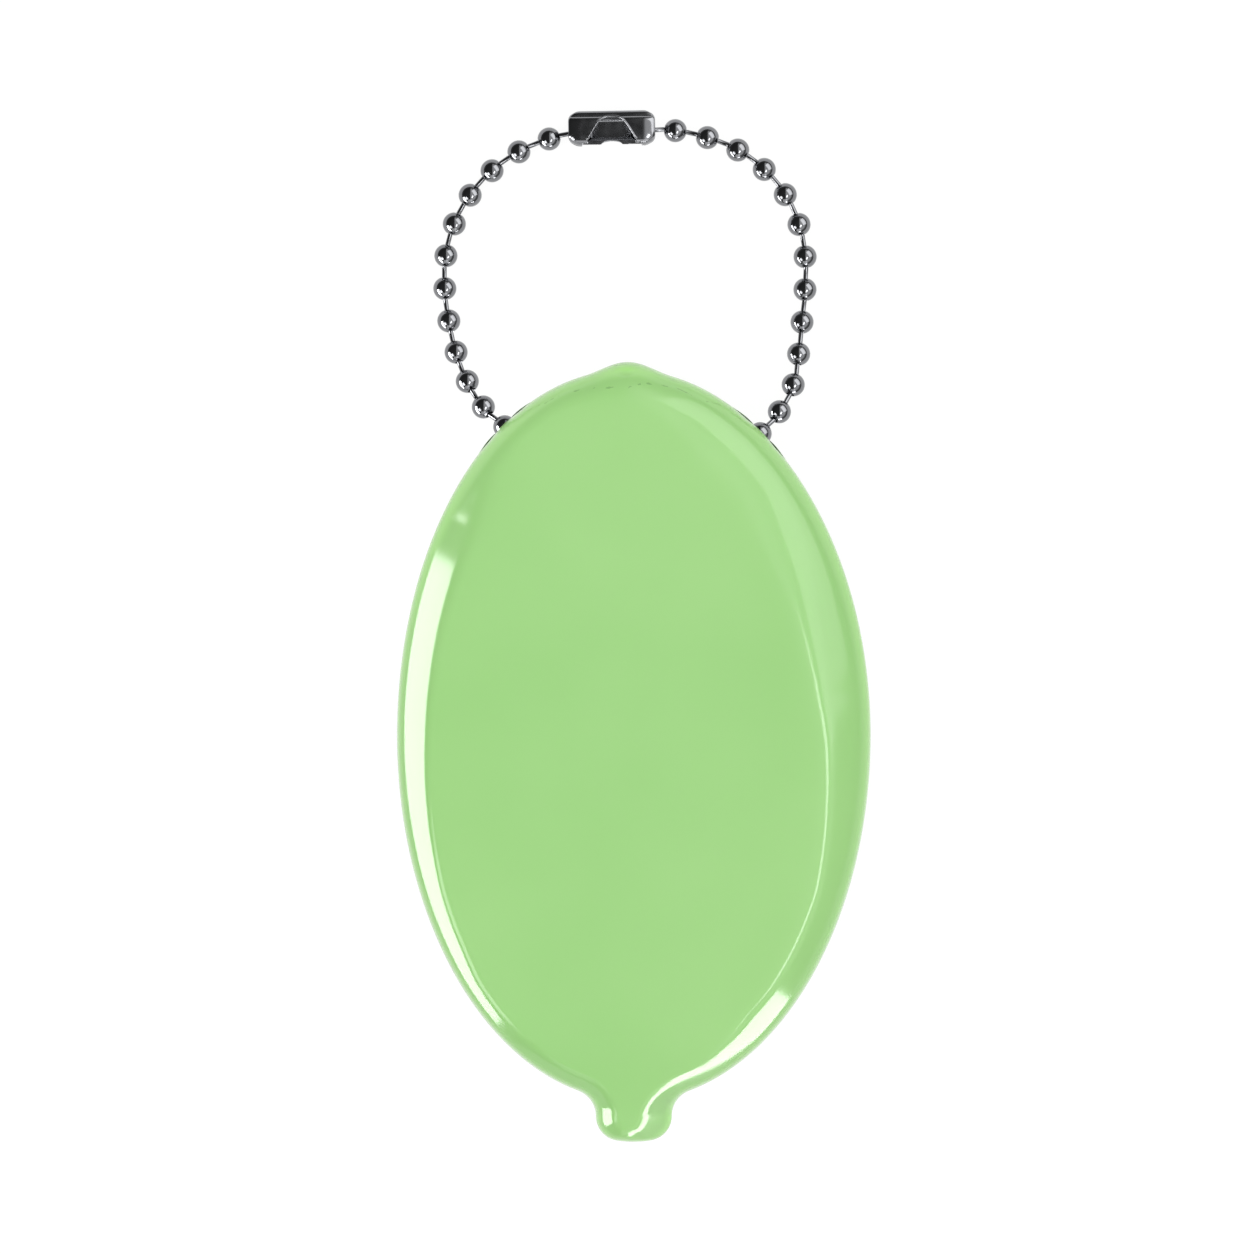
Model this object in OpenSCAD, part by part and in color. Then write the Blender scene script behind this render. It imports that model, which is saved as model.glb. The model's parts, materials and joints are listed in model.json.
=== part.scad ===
// Squeeze coin purse: an oval dipped vinyl shell that is slit along its back, with a ball chain
// through its shoulders. It lies on its slit back. +Y runs up the purse towards the chain, +Z out
// of its plain front, and the origin is the middle of the back. All sizes are in millimetres.

/* [Purse] */
// Width across the widest line of the oval
purse_w = 48.6; // [44:0.2:56]
// Length of the oval without its nub and tail
purse_l = 75; // [70:0.5:84]
// Thickness from the back to the front
purse_t = 11.5; // [11:0.1:14]
// Wall of the vinyl
wall = 1.9; // [1.6:0.1:2.1]
// Width of the rounded rim beside the flat faces, at the sides
rim_side = 4.1; // [3.4:0.1:4.8]
// Width of the rounded rim at the two ends
rim_end = 3.2; // [2.8:0.1:3.6]
// Slope of the rim where it meets a flat face, in degrees
rim_slope = 25; // [15:1:35]
// How far the top of the oval leans to the left
top_lean = 0.7; // [0:0.1:1.2]

/* [Nub and tail] */
// Height of the drip nub over the top of the oval
nub_h = 0.8; // [0.2:0.1:1.5]
// Half width of the nub, with its shoulders
nub_half_w = 4.6; // [3:0.1:6]
// Width of the tail
tail_w = 7.8; // [6:0.1:10]
// Length of the tail beyond the oval
tail_l = 4.2; // [3:0.1:8]
// Thickness of the tail
tail_t = 6.8; // [4:0.1:9]
// Radius of the fillets between the tail and the oval
tail_fillet = 2.8; // [1:0.1:5]
// Radius of the tail's end corners
tail_corner = 2; // [0.5:0.1:3]

/* [Mouth] */
// Top end of the slit, above the origin
slit_top = 25; // [15:0.5:25]
// Bottom end of the slit, below the origin
slit_bottom = 32; // [20:0.5:33]
// Gap between the two lips
slit_gap = 0.2; // [0.1:0.05:1]
// Width of each lip, from the slit to the line that it bends on
lip_w = 15.5; // [10:0.5:16]
// Half length of the line that a lip bends on
bend_half_l = 16; // [8:0.5:18]
// Clearance around each lip
lip_clear = 0.3; // [0.15:0.05:0.6]

/* [Chain exits] */
// Place of the left exit around the oval, in degrees from the right side
left_exit = 122; // [115:0.5:128]
// Place of the right exit around the oval, in degrees from the right side
right_exit = 56; // [52:0.5:65]
// Length of the left exit slit along the rim
left_exit_l = 4.8; // [4.2:0.1:7]
// Length of the right exit slit along the rim
right_exit_l = 6; // [4.2:0.1:7]
// Clearance around a ball in an exit slit
exit_clear = 0.25; // [0.1:0.05:0.6]
// Depth of an exit ball's centre under the outline
exit_depth = 0.2; // [0:0.05:0.6]

/* [Ball chain] */
// Diameter of a ball
ball_d = 2.4; // [2.3:0.05:2.5]
// Wall of a hollow ball
ball_wall = 0.25; // [0.15:0.05:0.3]
// Distance from ball to ball
pitch = 3.386; // [3.3:0.01:3.5]
// Diameter of a pin
pin_d = 0.5; // [0.3:0.05:0.6]
// Diameter of a pin's heads
head_d = 0.9; // [0.88:0.01:1]
// Thickness of a pin's heads
head_t = 0.15; // [0.1:0.01:0.2]
// Radial clearance of a pin in a ball's hole
pin_clear = 0.17; // [0.12:0.01:0.2]
// Number of balls inside the purse
hidden_balls = 7; // [7:1:7]
// Links over which the chain comes down to the surface
drop_links = 5; // [4:1:7]
// How fast it comes down
drop_power = 1.8; // [1:0.1:2.5]
// Fall of the hidden chain's bow, in degrees below level
bow_fall = 25; // [10:1:40]

/* [Connector] */
// Distance between the two balls that the connector holds
ball_gap = 6.4; // [5.6:0.1:7]
// Metal between a held ball's centre and the connector's end
clip_end = 1.3; // [1.25:0.05:1.6]
// Height of the connector above its ball line
clip_above = 2; // [1.7:0.1:2.6]
// Height of the connector below its ball line
clip_below = 1.6; // [1.6:0.1:2]
// Depth of the connector, from its back to its front
clip_t = 3.2; // [3.2:0.1:3.8]
// Thickness of its sheet metal
sheet = 0.3; // [0.2:0.05:0.3]
// Turn of the connector from level, in degrees
clip_turn = 1; // [-5:1:5]

/* [Hidden] */
VINYL = "#A6DA8A";
STEEL = "#77797C";
$fn = 48;
EPS = 0.01; // a cut's reach past the surface that it opens

a = purse_w / 2;
b = purse_l / 2;
mid_z = purse_t / 2;
nub_x = -0.6;
TAIL_POWER = 2.5; // squareness of the tail's section
// Directions of the links in degrees from +X, from each exit up to the connector.
left_headings = [137, 122, 111, 103, 97, 88, 75, 61, 48, 35, 23, 14];
right_headings = [48, 62, 79, 83, 84, 89, 100, 114, 129, 143, 157, 167, 178];

function unit(v) = v / norm(v);
function turned(p, angle) = [p.x * cos(angle) - p.y * sin(angle), p.x * sin(angle) + p.y * cos(angle)];
function heading(v) = atan2(v.y, v.x);

// Outline of the shell. da and db take the oval in at its sides and ends.
function lean(y) = y > 0 ? top_lean * pow(y / b, 2) : 0;
function oval(t, da = 0, db = 0) =
    let (y = (b - db) * sin(t))
    [(a - da) * cos(t) - lean(y), y];
function oval_out(t, da = 0, db = 0) = unit([(b - db) * cos(t), (a - da) * sin(t)]);
function nub(x) = abs(x - nub_x) < nub_half_w ? nub_h * pow(cos(90 * (x - nub_x) / nub_half_w), 2) : 0;

// Angle at which a fillet between the oval and the tail's side touches the oval, by halving.
function fillet_x(t, da, db) = oval(t, da, db).x + tail_fillet * oval_out(t, da, db).x;
function touch(da, db, lo = -89, hi = -45, n = 24) =
    let (mid = (lo + hi) / 2)
    n == 0 ? mid
    : fillet_x(mid, da, db) < tail_w / 2 + tail_fillet ? touch(da, db, mid, hi, n - 1)
    : touch(da, db, lo, mid, n - 1);

OVAL_STEPS = 60;
FILLET_STEPS = 5;
CORNER_STEPS = 4;
LAST_ANGLE = -88; // the last point before the middle of the lower end
// One half of the tail from the oval round to the middle of its end, as [x, y] with x positive.
function half_tail(da, db) =
    let (t0 = touch(da, db))
    let (centre = oval(t0, da, db) + tail_fillet * oval_out(t0, da, db))
    let (from = heading(-oval_out(t0, da, db)))
    let (end_y = -b - tail_l + db)
    concat(
        [for (i = [0:FILLET_STEPS])
            let (angle = from + (180 - from) * i / FILLET_STEPS)
            centre + tail_fillet * [cos(angle), sin(angle)]],
        [for (i = [0:CORNER_STEPS])
            let (angle = -90 * i / CORNER_STEPS)
            [tail_w / 2 - tail_corner, end_y + tail_corner] + tail_corner * [cos(angle), sin(angle)]]
    );
// The same number of points on the plain oval, where a level is too high or low for the tail.
function half_plain(da, db, count) =
    let (t0 = touch(da, db))
    [for (i = [0:count - 1]) oval(t0 + (LAST_ANGLE - t0) * i / (count - 1), da, db)];
function mixed(p, q, share) = [for (i = [0:len(p) - 1]) p[i] + (q[i] - p[i]) * share];
function flipped(p) = [for (i = [len(p) - 1:-1:0]) [-p[i].x, p[i].y]];
// The whole outline at one level, with share of the tail and nub_share of the nub.
function outline(da, db, share, nub_share) =
    let (tail = half_tail(da, db))
    let (half = mixed(half_plain(da, db, len(tail)), tail, share))
    let (t0 = touch(da, db))
    concat(
        [for (i = [1:OVAL_STEPS - 1])
            let (p = oval(t0 + (180 - 2 * t0) * i / OVAL_STEPS, da, db))
            p.y > 0 ? p + [0, nub_share * nub(p.x)] : p],
        flipped([for (i = [len(half) - 1:-1:0]) half[i]]),
        [[0, (half[len(half) - 1]).y]],
        [for (i = [len(half) - 1:-1:0]) half[i]]
    );

// Rings of a shell, each as [x, y, z], joined into one closed solid with a flat cap at each end.
function ring_faces(rings, n) = concat(
    [for (k = [0:rings - 2], i = [0:n - 1])
        let (p = k * n + i, q = k * n + (i + 1) % n)
        [p, q, q + n]],
    [for (k = [0:rings - 2], i = [0:n - 1])
        let (p = k * n + i, q = k * n + (i + 1) % n)
        [p, q + n, p + n]],
    [for (i = [0:n - 1]) [rings * n, (i + 1) % n, i]],
    [for (i = [0:n - 1]) [rings * n + 1, (rings - 1) * n + i, (rings - 1) * n + (i + 1) % n]]
);
module closed_rings(rings) {
    n = len(rings[0]);
    bottom = [0, 0, rings[0][0].z];
    top = [0, 0, rings[len(rings) - 1][0].z];
    points = concat([for (ring = rings) each ring], [bottom, top]);
    polyhedron(points, [for (f = ring_faces(len(rings), n)) [f[2], f[1], f[0]]]);
}

OUTER_LEVELS = 16;
INNER_LEVELS = 10;
// The rim is part of an ellipse in section: angle 90 is its widest line, rim_slope is the face.
function rim_share(angle) = (1 - sin(angle)) / (1 - sin(rim_slope));
function rim_height(angle, half_t) = half_t * cos(angle) / cos(rim_slope);
function tail_share(z) =
    abs(z) < tail_t / 2 ? pow(1 - pow(abs(z) * 2 / tail_t, TAIL_POWER), 1 / TAIL_POWER) : 0;
OVERRUN = 5; // degrees by which the rim runs past the faces, which are then cut flat
NUB_POWER = 4; // how soon the nub fades towards the faces

module outer_form() {
    from = rim_slope - OVERRUN;
    intersection() {
        closed_rings([for (k = [0:OUTER_LEVELS])
            let (angle = 180 - from - (180 - 2 * from) * k / OUTER_LEVELS)
            let (z = rim_height(angle, mid_z), share = rim_share(angle))
            [for (p = outline(rim_side * share, rim_end * share, tail_share(z), pow(sin(angle), NUB_POWER)))
                [p.x, p.y, mid_z + z]]]);
        translate([-purse_w, -purse_l, 0])
            cube([2 * purse_w, 2 * purse_l, purse_t]);
    }
}

// Even wall: the inner rim is narrower, as its corner sits on the bisector of the outer one.
module cavity() {
    side = rim_side - wall * (1 - tan(rim_slope / 2));
    end = rim_end - wall * (1 - tan(rim_slope / 2));
    closed_rings([for (k = [0:INNER_LEVELS])
        let (angle = 180 - rim_slope - (180 - 2 * rim_slope) * k / INNER_LEVELS)
        let (z = rim_height(angle, mid_z - wall), share = rim_share(angle))
        [for (i = [0:OVAL_STEPS - 1])
            let (p = oval(360 * i / OVAL_STEPS, wall + side * share, wall + end * share))
            [p.x, p.y, mid_z + z]]]);
}

// Lips: side is 1 on the right and -1 on the left. more grows the outline for its clearance.
knuckle_r = wall / 2;
corner_w = 2.4; // width beside the bend line where the lip's ends stay square
module lip_plan(more) {
    x0 = slit_gap / 2 - more;
    x1 = lip_w + slit_gap / 2;
    polygon([
        [x0, slit_top + more],
        [x0, -slit_bottom - more],
        [x0 + more, -slit_bottom - more],
        [x1 - corner_w, -bend_half_l - more],
        [x1, -bend_half_l - more],
        [x1, bend_half_l + more],
        [x1 - corner_w, bend_half_l + more],
        [x0 + more, slit_top + more]
    ]);
}
module lip_solid(more, low, high) {
    translate([0, 0, low])
        linear_extrude(height = high - low)
            lip_plan(more);
    translate([lip_w + slit_gap / 2, 0, knuckle_r])
        rotate([90, 0, 0])
            cylinder(r = knuckle_r + more, h = 2 * (bend_half_l + more), center = true);
}
module lip(side) {
    color(VINYL)
        mirror([side > 0 ? 0 : 1, 0, 0])
            lip_solid(0, 0, wall);
}
module mouth_cut() {
    for (side = [0, 1])
        mirror([side, 0, 0])
            lip_solid(lip_clear, -wall, wall + lip_clear);
}

// Chain exits: eye-shaped slits through the rim, each round one ball of the chain.
ball_r = ball_d / 2;
exit_h = ball_r + exit_clear;
function exit_centre(t) =
    let (p = oval(t) - exit_depth * oval_out(t))
    [p.x, p.y, mid_z];
module eye(length) {
    r = (pow(length / 2, 2) + pow(exit_h, 2)) / (2 * exit_h);
    intersection() {
        translate([0, r - exit_h])
            circle(r);
        translate([0, exit_h - r])
            circle(r);
    }
}
module exit_slit(t, length) {
    translate(exit_centre(t))
        rotate([0, 0, heading(oval_out(t)) - 90])
            rotate([90, 0, 0])
                linear_extrude(height = 2 * (wall + ball_r), center = true)
                    eye(length);
}

module purse_shell() {
    color(VINYL)
        difference() {
            outer_form();
            cavity();
            mouth_cut();
            exit_slit(left_exit, left_exit_l);
            exit_slit(right_exit, right_exit_l);
        }
}
module left_lip() {
    lip(-1);
}
module right_lip() {
    lip(1);
}

// Chain route: each arm runs from its exit, down to the surface and up to the connector.
ball_in = ball_r - ball_wall;
hole_at = ball_r - ball_wall / 2;
hole_r = pin_d / 2 + pin_clear;
WIDE_HOLE = 0.9; // share of the inside that an exit ball's wide hole opens
HEAD_DEPTH = 0.6; // place of a pin's head on the way from the ball's centre to its wall
clip_z = clip_t / 2;
left_start = exit_centre(left_exit);
right_start = exit_centre(right_exit);
swing_axis = unit(right_start - left_start);

function arm_z(i, last) =
    i == last ? clip_z : ball_r + (mid_z - ball_r) * pow(max(0, 1 - i / drop_links), drop_power);
function step(i, last) = sqrt(pow(pitch, 2) - pow(arm_z(i, last) - arm_z(i - 1, last), 2));
function arm_plan(headings, i = 0, at = [0, 0]) =
    i == len(headings) ? [at]
    : concat([at], arm_plan(headings, i + 1,
        at + step(i + 1, len(headings)) * [cos(headings[i]), sin(headings[i])]));
left_plan = arm_plan(left_headings);
right_plan = arm_plan(right_headings);
left_reach = left_plan[len(left_headings)];
right_reach = right_plan[len(right_headings)];

// The loop closes as a four-bar: each arm turns as a whole until the connector joins their ends.
clip_way = [cos(clip_turn), sin(clip_turn)];
left_xy = [left_start.x, left_start.y];
right_xy = [right_start.x, right_start.y];
base = right_xy - ball_gap * clip_way - left_xy;
base_angle = acos((pow(norm(left_reach), 2) + pow(norm(base), 2) - pow(norm(right_reach), 2))
    / (2 * norm(left_reach) * norm(base)));
left_turn = heading(base) + base_angle - heading(left_reach);
left_end = left_xy + turned(left_reach, left_turn);
right_end = left_end + ball_gap * clip_way;
right_turn = heading(right_end - right_xy) - heading(right_reach);

function arm(plan, start, turn) = [for (i = [0:len(plan) - 1])
    let (p = turned(plan[i], turn))
    [start.x + p.x, start.y + p.y, arm_z(i, len(plan) - 1)]];
left_balls = arm(left_plan, left_start, left_turn);
right_balls = arm(right_plan, right_start, right_turn);

// Hidden chain: an even bow between the two exits. bow_turn is the bend at each ball, by halving.
hidden_links = hidden_balls + 1;
span = norm(right_start - left_start);
function bow_turn(lo = 0.01, hi = 40, n = 30) =
    let (mid = (lo + hi) / 2)
    n == 0 ? mid
    : pitch * sin(hidden_links * mid / 2) / sin(mid / 2) > span ? bow_turn(mid, hi, n - 1)
    : bow_turn(lo, mid, n - 1);
bend = bow_turn();
bow_lean = [0, -cos(bow_fall), -sin(bow_fall)];
bow_down = unit(bow_lean - (bow_lean * swing_axis) * swing_axis);
function bow(i = 0, at = left_start) =
    let (angle = bend * ((hidden_links - 1) / 2 - i))
    i == hidden_links ? [at]
    : concat([at], bow(i + 1, at + pitch * (cos(angle) * swing_axis + sin(angle) * bow_down)));
hidden_route = bow();

// Way of a ball's hole: along the only pin at an end, or halfway between its two pins.
function hole_way(route, i) =
    let (last = len(route) - 1)
    i == 0 ? unit(route[1] - route[0])
    : i == last ? unit(route[last] - route[last - 1])
    : unit(unit(route[i] - route[i - 1]) + unit(route[i + 1] - route[i]));
function hole_out(route, i) = route[i] + hole_at * hole_way(route, i);
function hole_back(route, i) = route[i] - hole_at * hole_way(route, i);

module towards(v) {
    rotate([0, acos(v.z / norm(v)), heading(v)])
        children();
}
module ball(route, i) {
    color(STEEL)
        translate(route[i])
            towards(hole_way(route, i))
                difference() {
                    sphere(ball_r);
                    sphere(ball_in);
                    cylinder(r = hole_r, h = 2 * ball_d, center = true);
                }
}
// An exit ball turns on the inner pin, so its hidden side has one wide hole on the swing axis.
module exit_ball(route, inward) {
    color(STEEL)
        translate(route[0])
            difference() {
                towards(inward)
                    difference() {
                        sphere(ball_r);
                        sphere(ball_in);
                        cylinder(r = WIDE_HOLE * ball_in, h = ball_d);
                    }
                towards(hole_way(route, 0))
                    cylinder(r = hole_r, h = ball_d);
            }
}
module pin(route, i) {
    from = hole_out(route, i - 1);
    to = hole_back(route, i);
    inside = hole_at - (ball_in - head_t) * HEAD_DEPTH;
    color(STEEL)
        translate(from)
            towards(to - from) {
                translate([0, 0, -inside])
                    cylinder(d = pin_d, h = norm(to - from) + 2 * inside);
                translate([0, 0, -inside - head_t / 2])
                    cylinder(d = head_d, h = head_t);
                translate([0, 0, norm(to - from) + inside - head_t / 2])
                    cylinder(d = head_d, h = head_t);
            }
}
module hidden_chain_balls() {
    for (i = [1:hidden_balls])
        ball(hidden_route, i);
}
module hidden_chain_pins() {
    for (i = [1:hidden_links])
        pin(hidden_route, i);
}
module left_ball(i) {
    if (i == 0) exit_ball(left_balls, swing_axis);
    else ball(left_balls, i);
}
module right_ball(i) {
    if (i == 0) exit_ball(right_balls, -swing_axis);
    else ball(right_balls, i);
}

// Connector: a sheet sleeve folded along its top edge, open below, with an arched window.
clip_l = ball_gap + 2 * clip_end;
clip_corner_r = 1; // its corners seen from the front
fold_r = 1.2; // its folded top edge seen from an end
end_hole_r = 0.85; // hole in each end, which a held ball looks out of
pin_slot = pin_d + 0.3; // slot from each end hole down to the open edge, for the pin
arch_half_w = ball_gap / 2 - 0.5; // half width of the window at its feet
arch_foot = 0.6; // metal under the window's feet
arch_top = 0.55; // metal over the window
arch_lean = 2.2; // from a foot in to the flat top
shoulder_in = 1.54; // from a foot in to the shoulder under the flat top
shoulder_drop = 0.77; // from the sleeve's top down to that shoulder
waist_in = 0.88; // from a foot in to the waist of the arch
waist_y = 0.4; // height of the waist over the ball line
notch_r = 1.9; // round notch in the open edge
notch_drop = 1.5; // from the open edge down to the notch's centre

module fold_section(less) {
    hull() {
        for (z = [-1, 1])
            translate([clip_above - fold_r, z * (clip_z - fold_r)])
                circle(fold_r - less, $fn = 40);
        translate([-2 * clip_below, -clip_z + less])
            square([clip_below, clip_t - 2 * less]);
    }
}
module front_plan(less) {
    r = clip_corner_r - less;
    hull()
        for (x = [-1, 1], y = [clip_corner_r - clip_below, clip_above - clip_corner_r])
            translate([x * (clip_l / 2 - clip_corner_r), y])
                circle(r, $fn = 40);
}
module clip_form(less) {
    intersection() {
        translate([0, 0, less - clip_z])
            linear_extrude(height = clip_t - 2 * less)
                front_plan(less);
        rotate([90, 0, 90])
            linear_extrude(height = 2 * clip_l, center = true)
                fold_section(less);
    }
}
module window() {
    for (side = [0, 1])
        mirror([side, 0])
            polygon([
                [0, clip_above - arch_top],
                [arch_half_w - arch_lean, clip_above - arch_top],
                [arch_half_w - shoulder_in, clip_above - shoulder_drop],
                [arch_half_w - waist_in, waist_y],
                [arch_half_w, arch_foot - clip_below],
                [arch_half_w - arch_foot, -2 * clip_below],
                [0, -2 * clip_below]
            ]);
}
module connector() {
    middle = (left_balls[len(left_headings)] + right_balls[len(right_headings)]) / 2;
    color(STEEL)
        translate(middle)
            rotate([0, 0, clip_turn])
                difference() {
                    clip_form(0);
                    clip_form(sheet);
                    translate([0, -clip_below, 0])
                        cube([ball_gap, 3 * sheet, clip_t - 2 * sheet], center = true);
                    translate([0, 0, clip_z - sheet - EPS])
                        linear_extrude(height = sheet + 2 * EPS)
                            window();
                    translate([0, -clip_below - notch_drop, 0])
                        cylinder(r = notch_r, h = 2 * clip_t, center = true);
                    rotate([0, 90, 0])
                        cylinder(r = end_hole_r, h = 2 * clip_l, center = true);
                    translate([0, -clip_below, 0])
                        cube([2 * clip_l, 2 * clip_below, pin_slot], center = true);
                }
}

function numbered(name, i) = str(name, i < 10 ? "0" : "", i);

purse_shell();
left_lip();
right_lip();
connector();
hidden_chain_balls();  // hidden_balls
hidden_chain_pins();  // hidden_pins
for (i = [0:len(left_headings)])
    left_ball(i);
for (i = [0:len(right_headings)])
    right_ball(i);
for (i = [1:len(left_headings)])
    pin(left_balls, i);
for (i = [1:len(right_headings)])
    pin(right_balls, i);
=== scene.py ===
# %% [markdown]
# # Squeeze coin purse
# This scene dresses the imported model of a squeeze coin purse: an oval shell of soft green vinyl, slit
# along its back, with a ball chain through its shoulders. Lengths in the code are in millimetres until
# a mesh is made, because the part was drawn in millimetres.

# %% Load the frame
import json
import bpy
import numpy as np
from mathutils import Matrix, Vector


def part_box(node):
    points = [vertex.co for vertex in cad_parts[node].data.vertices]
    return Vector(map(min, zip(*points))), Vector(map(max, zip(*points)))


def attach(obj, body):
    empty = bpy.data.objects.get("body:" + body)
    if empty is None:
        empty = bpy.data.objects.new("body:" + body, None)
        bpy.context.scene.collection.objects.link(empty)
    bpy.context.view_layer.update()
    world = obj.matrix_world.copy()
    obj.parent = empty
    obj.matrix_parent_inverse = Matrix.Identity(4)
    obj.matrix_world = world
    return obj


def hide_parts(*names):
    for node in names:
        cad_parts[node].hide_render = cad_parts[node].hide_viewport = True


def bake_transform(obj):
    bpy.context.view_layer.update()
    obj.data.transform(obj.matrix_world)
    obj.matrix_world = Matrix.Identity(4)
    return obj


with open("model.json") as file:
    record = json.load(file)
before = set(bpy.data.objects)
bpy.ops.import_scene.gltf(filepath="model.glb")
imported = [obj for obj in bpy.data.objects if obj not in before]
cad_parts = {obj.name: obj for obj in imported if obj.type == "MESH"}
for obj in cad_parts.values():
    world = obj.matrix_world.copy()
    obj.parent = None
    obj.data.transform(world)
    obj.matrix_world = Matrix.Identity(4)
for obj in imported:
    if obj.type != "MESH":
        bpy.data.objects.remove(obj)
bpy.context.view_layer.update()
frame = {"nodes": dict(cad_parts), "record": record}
MM = 0.001


def colour(code):
    """Linear RGBA of an sRGB hex code such as "#A6DA8A"."""
    channels = [int(code[i:i + 2], 16) / 255 for i in (1, 3, 5)]
    return [c / 12.92 if c <= 0.04045 else ((c + 0.055) / 1.055) ** 2.4 for c in channels] + [1.0]


def smooth(x):
    """Smoothstep of x held between 0 and 1: 3x^2 - 2x^3."""
    x = np.clip(x, 0, 1)
    return x * x * (3 - 2 * x)


def unit(v):
    """v with length 1, along its last axis."""
    return v / np.linalg.norm(v, axis=-1, keepdims=True)


# %% [markdown]
# ## Mesh builder
# Every surface here is a list of rings of points. Neighbouring rings are joined with quads, and points
# that meet are merged, so a surface closes wherever two rings run together.

# %% Build meshes from rings
def ring_quads(first, second, count, closed, flip):
    """Quads between two rings of count points whose indices start at first and second."""
    i = np.arange(count if closed else count - 1)
    j = (i + 1) % count
    quads = np.stack([first + i, first + j, second + j, second + i], axis=1)
    return quads[:, ::-1] if flip else quads


def merged(points, quads, tolerance=0.001):
    """Merges points closer than tolerance, and drops the edges that this leaves without length."""
    keys = np.round(points / tolerance).astype(np.int64)
    _, first, back = np.unique(keys, axis=0, return_index=True, return_inverse=True)
    back = back.reshape(-1)
    faces = []
    for quad in back[quads]:
        face = [quad[k] for k in range(4) if quad[k] != quad[k - 1]]
        if len(set(face)) == len(face) and len(face) > 2:
            faces.append([int(v) for v in face])
    return points[first], faces, first


def add_object(name, points, faces, material, body, smooth_angle=40):
    """Makes a mesh object from points in mm, shades it smooth up to an angle and puts it on its body."""
    mesh = bpy.data.meshes.new(name)
    mesh.from_pydata((np.asarray(points) * MM).tolist(), [], faces)
    mesh.materials.append(material)
    mesh.update()
    mesh.shade_smooth()
    mesh.set_sharp_from_angle(angle=np.radians(smooth_angle))
    obj = bpy.data.objects.new(name, mesh)
    bpy.context.scene.collection.objects.link(obj)
    if body:
        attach(obj, body)
    return obj


# %% [markdown]
# ## Materials
# All patterns use object coordinates or a mesh attribute, so they don't swim when a piece moves.

# %% Node helpers
def new_material(name):
    """An empty node material with its output and one main shader."""
    material = bpy.data.materials.new(name)
    material.use_nodes = True
    tree = material.node_tree
    tree.nodes.clear()
    output = tree.nodes.new("ShaderNodeOutputMaterial")
    shader = tree.nodes.new("ShaderNodeBsdfPrincipled")
    tree.links.new(shader.outputs["BSDF"], output.inputs["Surface"])
    return material, tree, shader


def add(tree, kind, links=None, settings=None, **values):
    """Adds a node, sets its properties and input values, and links sockets into it."""
    item = tree.nodes.new(kind)
    for key, value in (settings or {}).items():
        setattr(item, key, value)
    for key, value in values.items():
        item.inputs[key.replace("_", " ")].default_value = value
    for key, socket in (links or {}).items():
        tree.links.new(socket, item.inputs[key])
    return item


def math(tree, operation, first, second):
    """Result of a math node on a socket and on a second socket or fixed number."""
    item = add(tree, "ShaderNodeMath", {0: first}, {"operation": operation})
    if isinstance(second, float):
        item.inputs[1].default_value = second
    else:
        tree.links.new(second, item.inputs[1])
    return item.outputs[0]


def blended(tree, amount, first, second):
    """Colour that goes from first to second with amount. The second may be a fixed colour."""
    item = add(tree, "ShaderNodeMix", {0: amount, 6: first}, {"data_type": "RGBA"})
    if isinstance(second, list):
        item.inputs[7].default_value = second
    else:
        tree.links.new(second, item.inputs[7])
    return item.outputs[2]


def ramp(tree, socket, stops):
    """Colour ramp over a 0 to 1 socket, with stops as (place, colour)."""
    item = add(tree, "ShaderNodeValToRGB", {"Fac": socket})
    while len(item.color_ramp.elements) < len(stops):
        item.color_ramp.elements.new(0.5)
    for element, (place, tint) in zip(item.color_ramp.elements, stops):
        element.position = place
        element.color = tint
    return item.outputs["Color"]


def attribute(tree, name):
    """Value of a mesh attribute."""
    return add(tree, "ShaderNodeAttribute", settings={"attribute_name": name}).outputs["Fac"]


# %% Vinyl: soft PVC plastisol, dipped over a form, so it is glossy and a little uneven
# The attribute cut_line is CUT_REACH on the fine line over the top and falls to 0 at as many mm from it.
# The line is drawn where that is over CUT_LEVEL - CUT_BREAKS times a fine noise, which breaks it up.
CUT_REACH, CUT_LEVEL, CUT_BREAKS = 0.2, 0.215, 0.16

vinyl, tree, shader = new_material("vinyl")
place = add(tree, "ShaderNodeTexCoord").outputs["Object"]
patches = add(tree, "ShaderNodeTexNoise", {"Vector": place}, Scale=45.0, Detail=2.0)
green = ramp(tree, patches.outputs["Fac"], [(0.3, colour("#A2D986")), (0.7, colour("#A8DD8C"))])
dots = add(tree, "ShaderNodeTexNoise", {"Vector": place}, Scale=1900.0, Detail=1.0)
broken = math(tree, "MULTIPLY", dots.outputs["Fac"], -CUT_BREAKS)
on_line = math(tree, "GREATER_THAN", attribute(tree, "cut_line"), math(tree, "ADD", broken, CUT_LEVEL))
green = blended(tree, on_line, green, colour("#90C579"))
# Painted light: lighter green along the edge, for light from the paper shining through the vinyl.
green = blended(tree, attribute(tree, "painted_edge_light"), green, colour("#BDFA97"))
# Painted shade: dark green on the walls inside the slits.
green = blended(tree, attribute(tree, "painted_slit_shade"), green, colour("#35552A"))
tree.links.new(green, shader.inputs["Base Color"])
waves = add(tree, "ShaderNodeTexNoise", {"Vector": place}, Scale=120.0, Detail=1.0)
bump = add(tree, "ShaderNodeBump", {"Height": waves.outputs["Fac"]}, Strength=0.12, Distance=0.0002)
tree.links.new(bump.outputs["Normal"], shader.inputs["Normal"])
shader.inputs["Roughness"].default_value = 0.13
shader.inputs["IOR"].default_value = 1.53
shader.inputs["Subsurface Weight"].default_value = 0.08
shader.inputs["Subsurface Radius"].default_value = (0.6, 1.0, 0.45)
shader.inputs["Subsurface Scale"].default_value = 0.0012


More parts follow.
